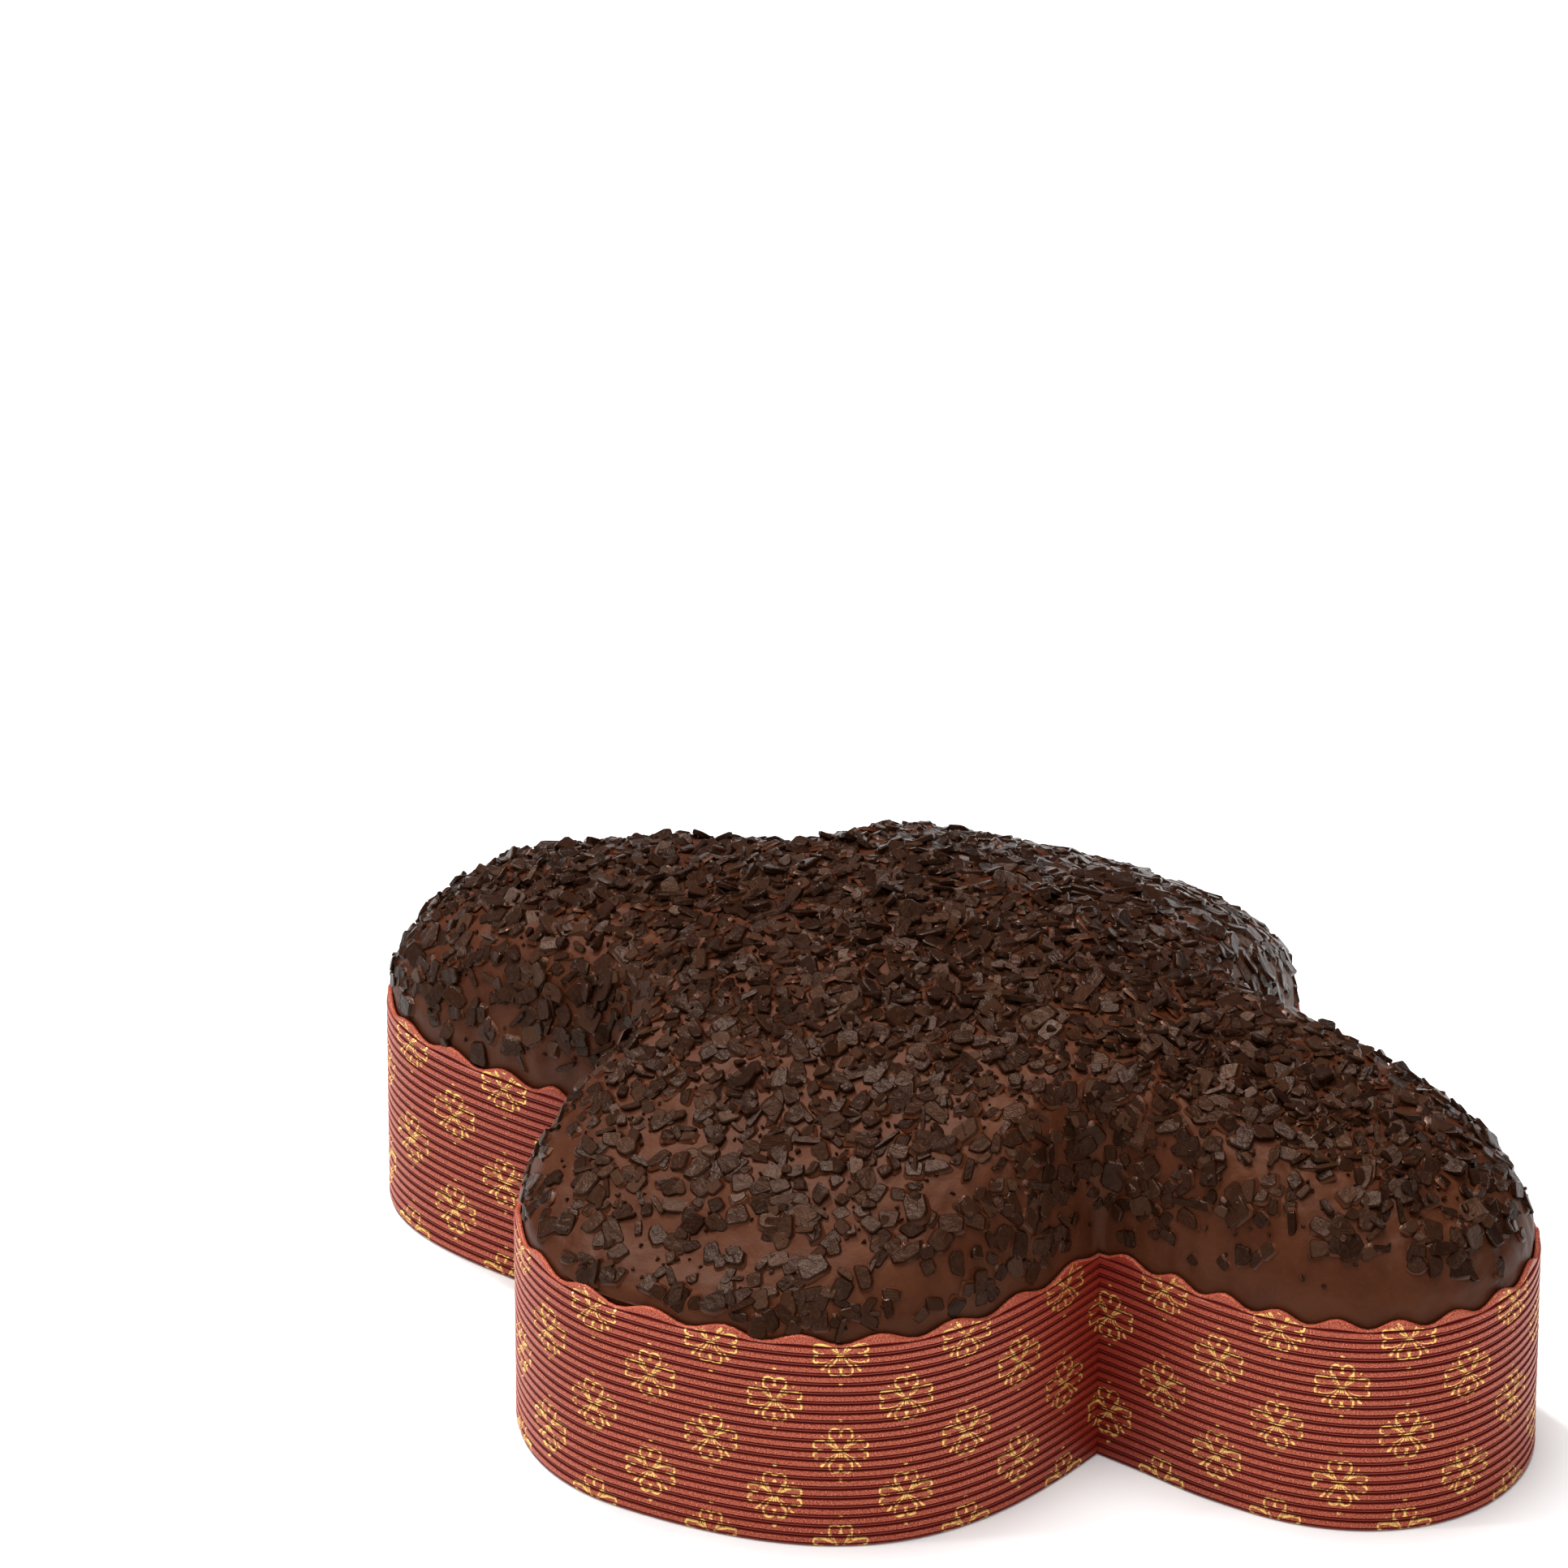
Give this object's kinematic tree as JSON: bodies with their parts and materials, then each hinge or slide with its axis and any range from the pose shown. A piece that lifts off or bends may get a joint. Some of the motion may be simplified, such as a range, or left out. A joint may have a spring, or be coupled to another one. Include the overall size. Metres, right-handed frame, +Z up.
{
  "type": "colomba easter bread",
  "caption": "Dove-shaped Easter bread under a dark chocolate coating strewn with chocolate chips, baked and standing in its own ribbed paper case.",
  "frame": {"origin": "on the underside of the paper case, in the middle of the bread's length and width", "axes": "+Z up, +X towards the tip of the head, +Y and -Y towards the tips of the wings"},
  "size_m": [0.282, 0.215, 0.1004],
  "materials": {
    "case_paper": "corrugated brick-red baking paper with a soft metallic sheen and gold ornaments",
    "bread_crust": "golden-brown baked crust, dry and dull",
    "dark_chocolate": "dark chocolate coating with a soft sheen, strewn with darker angular chocolate chips"
  },
  "bodies": {
    "root": {"paper_case": "case_paper", "bread": "bread_crust", "chocolate_coating": "dark_chocolate"}
  },
  "joints": []
}
